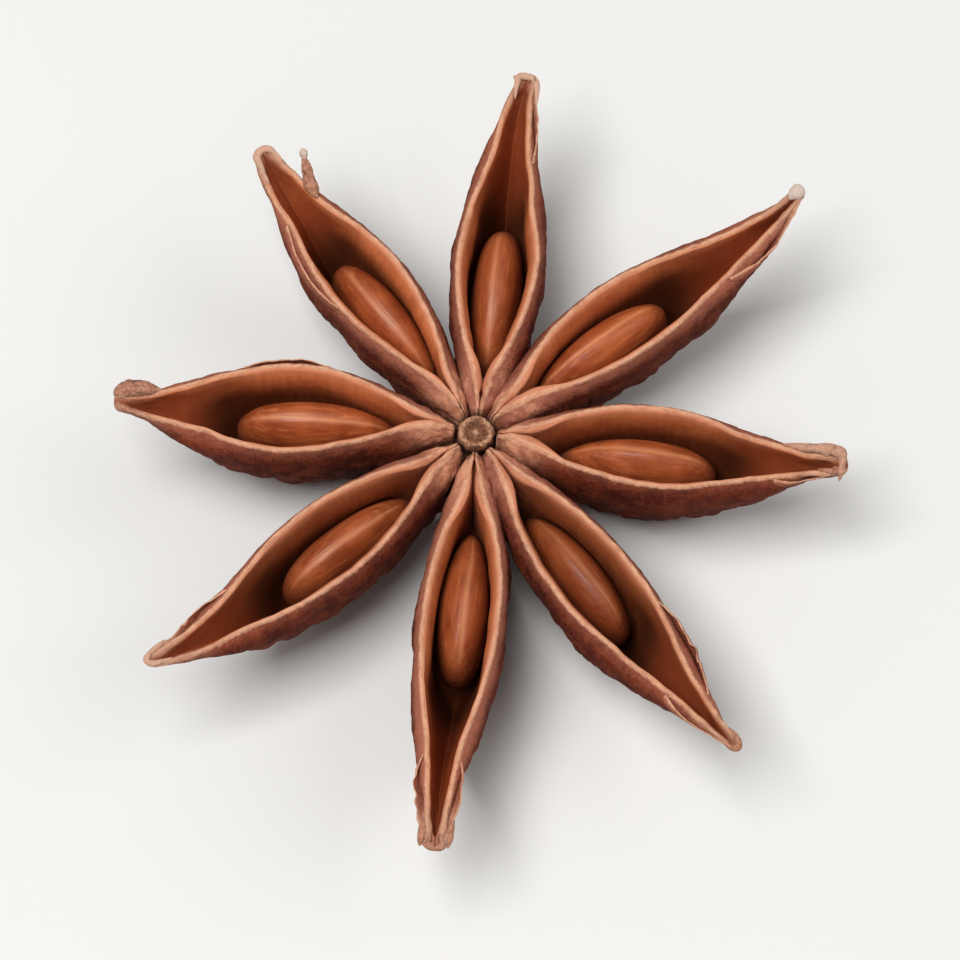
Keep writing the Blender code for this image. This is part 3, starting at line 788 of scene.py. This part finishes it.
def make_hub(material):
    """The ridged disc between the petals, the core below it and the stalk's scar underneath."""
    disc, ring, scar = RIM_HEIGHT - DISC_SINK, RIM_HEIGHT - RING_DEPTH, KEEL_AT_HUB - STALK_DROP
    knots = [
        (0.02 * MM, disc - 0.06 * MM), (0.16 * MM, disc - 0.20 * MM), (0.38 * MM, disc - 0.24 * MM),
        (0.54 * MM, disc - 0.06 * MM), (DISC_RIDGE_AT, disc), (0.74 * MM, disc - 0.05 * MM),
        (DISC_RADIUS, disc - 0.25 * MM), (DISC_RADIUS, ring), (CORE_RADIUS * 0.9, ring - 0.20 * MM),
        (CORE_RADIUS, RIM_HEIGHT / 2.0), (CORE_RADIUS * 0.9, KEEL_AT_HUB + 0.50 * MM),
        (STALK_RADIUS + 0.25 * MM, scar + 0.50 * MM), (STALK_RADIUS, scar + 0.05 * MM),
        (STALK_RADIUS * 0.8, scar - 0.05 * MM), (STALK_RADIUS * 0.6, scar + 0.10 * MM),
        (0.02 * MM, scar + 0.05 * MM),
    ]
    r, z = (np.array([k[i] for k in knots]) for i in (0, 1))
    run = np.concatenate([[0], np.cumsum(np.hypot(np.diff(r), np.diff(z)))])
    fine = np.linspace(0.0, run[-1], HUB_RINGS)
    r, z = np.interp(fine, run, r)[:, None], np.interp(fine, run, z)[:, None]
    turn = np.linspace(0.0, 2.0 * np.pi, HUB_AROUND, endpoint=False)[None, :]
    grid = np.stack([r * np.cos(turn), r * np.sin(turn), z + 0.0 * turn], axis=-1)
    normal = -grid_normals(grid)
    relief = rough_noise(grid, 0.38 * MM, 77, 4) * HUB_LUMPS
    spokes = np.stack([turn * 0.5 * MM + 0 * r, r + 0 * turn, z + 0 * turn], axis=-1)
    relief = relief + rough_noise(spokes, 0.12 * MM, 78, 2) * HUB_SPOKES * ease(r / (0.4 * MM))
    grid = grid + normal * relief[..., None]
    grid[..., 2] = np.maximum(grid[..., 2], 0.1 * MM)
    ridge = np.exp(-(((r - DISC_RIDGE_AT) / (0.12 * MM)) ** 2)) + 1.2 * np.exp(-((r / (0.18 * MM)) ** 2))
    ridge = ridge * (z > ring + 0.5 * MM) + 0.0 * turn
    # how far each point lies below the disc's top, for the painted shade in the sunk places
    sunk = np.clip((disc - 0.12 * MM - z) / (0.25 * MM), 0.0, 1.0) * (z > RIM_HEIGHT / 2.0) + 0.0 * turn
    mesh = lofted("hub", grid, {"crease": relief / (0.1 * MM), "ridge": ridge, "sunk": sunk})
    add_piece("hub", mesh, material, Matrix.Translation(hub_place()), "husk", "pod")


def make_seed(number, c, material):
    t = np.linspace(0.0, np.pi, SEED_ROWS + 2)[1:-1][:, None]
    turn = np.linspace(0.0, 2.0 * np.pi, SEED_AROUND, endpoint=False)[None, :]
    x = -np.cos(t) + 0.0 * turn
    girth = np.sin(t) ** (1.0 - SEED_BLUNTER * x)
    fuller = 1.0 + SEED_TAPER * x
    y = girth * np.sin(turn) * SEED_WIDTH / 2.0 * fuller
    z = girth * np.cos(turn) * SEED_HEIGHT / 2.0 * fuller
    ridge = np.exp(-((turn - SEED_RIDGE_AT + 0.05 * np.sin(3.0 * x + number)) / SEED_RIDGE_WIDTH) ** 2)
    ridge = ridge + np.exp(-((turn - SEED_RIDGE_AT - 2.0 * np.pi) / SEED_RIDGE_WIDTH) ** 2)
    ridge = ridge * ease((1.0 - np.abs(x)) / 0.35)
    grid = np.stack([x * SEED_LENGTH / 2.0, y, z], axis=-1)
    normal = grid_normals(grid)
    swells = noise(grid, (3.0 * MM, 1.5 * MM, 1.5 * MM), 300 + number) * SEED_SWELLS
    grain = rough_noise(grid, (3.2 * MM, 0.45 * MM, 0.45 * MM), 330 + number, 2) * SEED_GRAIN
    relief = swells + ridge * SEED_RIDGE_HEIGHT + grain
    grid = grid + normal * relief[..., None]
    s = c.seed_at
    slope = float(middle(c, s + SLOPE_STEP) - middle(c, s - SLOPE_STEP)) / (2.0 * SLOPE_STEP * c.length)
    centre = (s * c.length, float(middle(c, s)), seed_height(c))
    own = Matrix.Translation(centre) @ Matrix.Rotation(slope, 4, "Z")
    # each seed's share of painted shadow
    shade = np.full(x.shape, SEED_SHADOW_SHARE[number - 1])
    # how far down the flank each point lies, where painted shade darkens the seed
    flank = 1.0 - np.cos(turn) * np.sin(t)
    values = {"ridge": ridge, "along": x * 0.5 + 0.5, "flank": flank, "shade": shade}
    mesh = lofted(f"seed_coat_{number}", grid, values, 10 + number)
    add_piece(f"seed_coat_{number}", mesh, material, placed(c) @ own, "seed_coat", f"seed_{number}")


# Materials ----------------------------------------------------------------------------------------


class Socket:
    """A shader value. Arithmetic on it adds the Math nodes."""

    def __init__(self, paint, socket):
        self.paint, self.socket = paint, socket

    def maths(self, operation, *terms):
        return self.paint.node("ShaderNodeMath", {"operation": operation}, dict(enumerate(terms)))

    def __add__(self, other):
        return self.maths("ADD", self, other)

    def __radd__(self, other):
        return self.maths("ADD", other, self)

    def __sub__(self, other):
        return self.maths("SUBTRACT", self, other)

    def __rsub__(self, other):
        return self.maths("SUBTRACT", other, self)

    def __mul__(self, other):
        return self.maths("MULTIPLY", self, other)

    def __rmul__(self, other):
        return self.maths("MULTIPLY", other, self)

    def __abs__(self):
        return self.maths("ABSOLUTE", self)


class Paint:
    """A material and its nodes."""

    def __init__(self, name):
        self.material = bpy.data.materials.new(name)
        self.material.use_nodes = True
        self.tree = self.material.node_tree
        self.shader = self.tree.nodes["Principled BSDF"]
        own = self.node("ShaderNodeTexCoord", output="Object")
        apart = self.attribute("variety") * 0.037
        self.place = self.node("ShaderNodeVectorMath", {"operation": "ADD"}, {0: own, 1: apart})

    def node(self, kind, settings=None, inputs=None, output=0):
        made = self.tree.nodes.new(kind)
        for name, value in (settings or {}).items():
            setattr(made, name, value)
        for name, value in (inputs or {}).items():
            self.join(made.inputs[name], value)
        return Socket(self, made.outputs[output])

    def join(self, target, value):
        if isinstance(value, Socket):
            self.tree.links.new(value.socket, target)
        else:
            target.default_value = value

    def attribute(self, name):
        return self.node("ShaderNodeAttribute", {"attribute_name": name}, output="Fac")

    def noise(self, size, detail=4.0, stretch=(1.0, 1.0, 1.0), roughness=0.55):
        scaled = self.node("ShaderNodeVectorMath", {"operation": "MULTIPLY"}, {0: self.place, 1: stretch})
        inputs = {"Vector": scaled, "Scale": 1.0 / size, "Detail": detail, "Roughness": roughness}
        return self.node("ShaderNodeTexNoise", None, inputs)

    def rise(self, value, low, high):
        """0 where value is under low and 1 over high, with a soft step between them."""
        inputs = {"Value": value, "From Min": low, "From Max": high}
        return self.node("ShaderNodeMapRange", {"interpolation_type": "SMOOTHSTEP"}, inputs)

    def mix(self, share, first, second):
        """From the first colour to the second as share goes from 0 to 1."""
        inputs = {0: share, 6: colour(first), 7: colour(second)}
        return self.node("ShaderNodeMix", {"data_type": "RGBA"}, inputs, output=2)

    def finish(self, base, roughness, height=None, depth=0.0, **constants):
        self.join(self.shader.inputs["Base Color"], base)
        self.join(self.shader.inputs["Roughness"], roughness)
        if height:
            inputs = {"Height": height, "Distance": depth, "Strength": 1.0}
            self.join(self.shader.inputs["Normal"], self.node("ShaderNodeBump", None, inputs))
        for name, value in constants.items():
            self.shader.inputs[name.replace("_", " ")].default_value = value
        return self.material


def colour(value):
    return value if isinstance(value, Socket) else (*value, 1.0)


def husk_paint():
    """Dark wrinkled outside, pale split rim, and a smooth red-brown inside with painted light under the rims
    and painted shade that darkens it downwards.
    """
    p = Paint("husk")
    past, along, crease = p.attribute("past_rim"), p.attribute("along"), p.attribute("crease")
    pallor = p.attribute("pallor")
    blotch = p.noise(2.2 * MM, 4.0)
    patch = p.noise(0.8 * MM, 5.0, roughness=0.65)
    speck = p.noise(0.20 * MM, 5.0, roughness=0.7)
    lines = p.noise(0.22 * MM, 4.0, (1.0, 0.14, 0.14))
    outside = p.mix(p.rise(blotch, 0.38, 0.62), HUSK_DARK, HUSK_BROWN)
    outside = p.mix(p.rise(patch, 0.47, 0.66) * 0.55, outside, HUSK_WARM)
    outside = p.mix(p.rise(patch, 0.47, 0.32) * 0.6, outside, HUSK_DUSKY)
    outside = p.mix(p.rise(lines, 0.53, 0.68) * 0.25, outside, HUSK_FIBRE)
    outside = p.mix(p.rise(speck, 0.54, 0.72) * 0.30, outside, HUSK_SPECK)
    outside = p.mix(p.rise(speck, 0.46, 0.30) * 0.55, outside, HUSK_PIT)
    outside = p.mix(p.rise(crease, 0.2, 1.1) * 0.30, outside, FOLD_TOP)
    # painted shade in the bottoms of the folds
    outside = p.mix(p.rise(crease, -0.2, -0.9) * 0.7, outside, FOLD_SHADE)
    shoulder = p.rise(past + speck * 0.7 + pallor * 0.5, -0.45, 0.55)
    outside = p.mix(shoulder * (pallor * 0.55 + 0.25), outside, SHOULDER_PINK)
    lip = p.mix(p.rise(lines, 0.3, 0.7), LIP_BROWN, LIP_GRAIN)
    lip = p.mix(p.rise(blotch, 0.5, 0.66) * 0.5, lip, LIP_STAIN)
    # the inside lower down: its red-brown, darkened as painted shade
    deep = p.mix(p.rise(lines, 0.3, 0.7), HOLLOW_SHADED_BROWN, HOLLOW_SHADED_GRAIN)
    sunk = past + p.rise(along, 0.74, 0.94) * 0.6
    # painted shadow on the lips of the carpels that lie in shade
    lip = p.mix(p.attribute("dim") * 0.85, lip, LIP_SHADOW)
    # lighter near the rims and darker as the inside sinks: painted light and painted shade over its
    # red-brown
    inside = p.mix(p.rise(sunk, 1.0, 2.8), lip, deep)
    tipward = p.rise(along, 0.58, 0.74) * p.rise(sunk, 0.25, 0.95)
    inside = p.mix(tipward * (0.75 + 0.2 * p.rise(blotch, 0.4, 0.6)), inside, HOLLOW_TIPWARD)
    # painted shade deep in the narrow end of the hollow
    inside = p.mix(p.rise(along, 0.80, 0.97) * p.rise(sunk, 0.75, 1.1) * 0.6, inside, HOLLOW_END_SHADE)
    # painted shadow just past each seed's far end
    inside = p.mix(p.attribute("pocket") * 0.85, inside, POCKET_SHADOW)
    # painted light: lighter just under the rims, where light falls on the inside
    inside = p.mix((1.0 - p.rise(sunk, 0.05, 0.75)) * 0.75, inside, UNDER_RIM_LIGHT)
    base = p.mix(p.rise(past, -0.02, 0.08), outside, inside)
    hubward = 1.0 - p.rise(along + (patch - 0.5) * 0.10, 0.08, 0.24)
    inner_end = 1.0 - p.rise(along + (patch - 0.5) * 0.03, 0.060, 0.074)
    fleshy = p.rise(past + patch * 0.8, -1.9, -0.2) * (0.45 + 0.5 * p.rise(patch, 0.42, 0.58))
    flesh = p.mix(p.rise(blotch, 0.40, 0.58), PETAL_PINK, PETAL_PALE)
    base = p.mix(hubward * fleshy, base, flesh)
    # painted shade in the groove of the closed seam near the hub
    base = p.mix(hubward * p.rise(past, 0.10, 0.32) * 0.7, base, PETAL_SEAM_SHADE)
    # painted shade in the creases near the hub
    base = p.mix(hubward * p.rise(crease, -0.1, -0.9) * 0.8, base, PETAL_CREASE_SHADE)
    # painted shade on the petals' inner ends, where they face the gap round the hub
    base = p.mix(inner_end * 0.75, base, PETAL_END_SHADE)
    crest = 1.0 - p.rise(abs(past + (speck - 0.5) * 0.20), 0.080, 0.200)
    rib = p.noise(0.30 * MM, 3.0, (1.0, 0.3, 0.3), 0.6)
    pale = 0.40 + 0.35 * p.rise(patch, 0.35, 0.55) + 0.22 * p.rise(rib, 0.4, 0.6)
    base = p.mix(crest * pale, base, CREST_TAN)
    tip = p.rise(along + (blotch - 0.5) * 0.12, 0.84, 1.0) * (1.0 - p.rise(past, 0.15, 0.5))
    base = p.mix(tip * 0.6, base, TIP_TAN)
    skin = 1.0 - p.rise(past, 0.1, 0.3)
    roughness = 0.44 + skin * 0.42 + speck * 0.06
    height = (speck * 0.55 + patch * 0.6) * (0.12 + 0.88 * skin) + lines * 0.12
    return p.finish(base, roughness, height, 0.13 * MM, Specular_IOR_Level=0.14)


def hub_paint():
    p = Paint("hub")
    crease, ridge = p.attribute("crease"), p.attribute("ridge")
    speck = p.noise(0.14 * MM, 5.0, roughness=0.7)
    base = p.mix(p.rise(speck, 0.35, 0.65), DISC_DARK, DISC_BROWN)
    base = p.mix(ridge * p.rise(speck, 0.3, 0.6) * 0.8, base, DISC_RIDGE)
    # painted shade in the hub's creases
    base = p.mix(p.rise(crease, -0.1, -0.8) * 0.75, base, DISC_CREASE_SHADE)
    # painted shade in the hub's sunk places
    base = p.mix(p.attribute("sunk") * 0.9, base, DISC_SUNK_SHADE)
    return p.finish(base, 0.85, speck, 0.10 * MM, Specular_IOR_Level=0.3)


def fibre_paint():
    """Frayed ends and shrivelled knobs: tan, then pale pink and pale grey as their tone rises."""
    p = Paint("frayed fibre")
    crease, tone = p.attribute("crease"), p.attribute("tone")
    speck = p.noise(0.16 * MM, 5.0, roughness=0.7)
    base = p.mix(p.rise(speck, 0.32, 0.66), FIBRE_BROWN, FIBRE_TAN)
    base = p.mix(p.rise(tone, 0.0, 0.5) * 0.75, base, FIBRE_PINK)
    base = p.mix(p.rise(tone, 0.5, 1.0) * 0.85, base, FIBRE_GREY)
    # painted shade in the fibres' grooves
    base = p.mix(p.rise(crease, 0.0, -1.0) * 0.8, base, FIBRE_CREASE_SHADE)
    return p.finish(base, 0.85, speck, 0.08 * MM, Specular_IOR_Level=0.3)


def seed_paint():
    p = Paint("seed coat")
    ridge, along = p.attribute("ridge"), p.attribute("along")
    cloud = p.noise(1.8 * MM, 3.0)
    streak = p.noise(0.22 * MM, 4.0, (0.10, 1.0, 1.0))
    base = p.mix(p.rise(cloud, 0.35, 0.65), SEED_BROWN, SEED_AMBER)
    base = p.mix(p.rise(streak, 0.50, 0.72) * 0.6, base, SEED_STREAK)
    base = p.mix(p.rise(streak, 0.46, 0.25) * 0.45, base, SEED_DARK_STREAK)
    # the ridge line's own paler tone, with a painted highlight along it
    base = p.mix(ridge * 0.6, base, SEED_RIDGE_AND_SHEEN)
    # painted shade on the lower flanks, darker away from the top
    base = p.mix(p.rise(p.attribute("flank"), 0.30, 0.85) * 0.6, base, SEED_FLANK_SHADE)
    base = p.mix(1.0 - p.rise(along, 0.0, 0.10), base, SEED_SCAR)
    # painted shadow, more on some seeds than others
    base = p.mix(p.attribute("shade") * 0.6, base, SEED_SHADOW)
    gloss = {"Coat_Weight": 0.09, "Coat_Roughness": 0.22, "Specular_IOR_Level": 0.32}
    return p.finish(base, 0.42 + streak * 0.2, cloud + streak * 0.4, 0.09 * MM, **gloss)


# Studio -------------------------------------------------------------------------------------------


def make_floor():
    p = Paint("pale floor")
    tone = p.noise(0.05, 2.0)
    material = p.finish(p.mix(tone, FLOOR_GREY, FLOOR_PALE), 0.8)
    mesh = bpy.data.meshes.new("floor")
    half = FLOOR_HALF
    corners = [(-half, -half, 0), (half, -half, 0), (half, half, 0), (-half, half, 0)]
    mesh.from_pydata(corners, [], [(0, 1, 2, 3)])
    mesh.materials.append(material)
    floor = bpy.data.objects.new("floor", mesh)
    bpy.context.scene.collection.objects.link(floor)


def make_lamp(name, power, size, place, target):
    lamp = bpy.data.lights.new(name, "AREA")
    lamp.energy, lamp.size = power, size
    thing = bpy.data.objects.new(name, lamp)
    bpy.context.scene.collection.objects.link(thing)
    thing.location = place
    thing.rotation_mode = "QUATERNION"
    thing.rotation_quaternion = (Vector(target) - Vector(place)).to_track_quat("-Z", "Y")


def make_studio():
    scene = bpy.context.scene
    scene.view_settings.view_transform = "Standard"
    world = bpy.data.worlds.new("studio")
    world.use_nodes = True
    world.node_tree.nodes["Background"].inputs["Color"].default_value = SKY
    world.node_tree.nodes["Background"].inputs["Strength"].default_value = SKY_STRENGTH
    scene.world = world
    low, high = CAD_BOX
    centre = (low + high) / 2.0
    for name, (power, size, away) in LAMPS.items():
        make_lamp(name, power, size, centre + Vector(away), centre)


def make_camera():
    """A long lens that looks steeply down on the open side."""
    low, high = CAD_BOX
    centre, elevation = (low + high) / 2.0, math.radians(CAMERA_ELEVATION)
    back = Vector((0.0, -math.cos(elevation), math.sin(elevation)))
    lens = bpy.data.cameras.new("camera")
    lens.lens = CAMERA_LENS
    lens.clip_start = 0.01
    camera = bpy.data.objects.new("camera", lens)
    bpy.context.scene.collection.objects.link(camera)
    camera.location = centre + back * CAMERA_DISTANCE
    camera.rotation_mode = "QUATERNION"
    camera.rotation_quaternion = (-back).to_track_quat("-Z", "Y")
    bpy.context.scene.camera = camera


make_camera()
make_studio()
make_floor()
husk = husk_paint()
seed_coat = seed_paint()
for number, carpel in enumerate(CARPELS, 1):
    make_carpel(number, carpel, husk)
    make_seed(number, carpel, seed_coat)
fibre = fibre_paint()
make_hub(hub_paint())
for number, strand in enumerate(STRANDS, 1):
    make_strand(number, strand, fibre)
for number, peel in enumerate(PEELS, 1):
    make_peel(number, peel, husk)
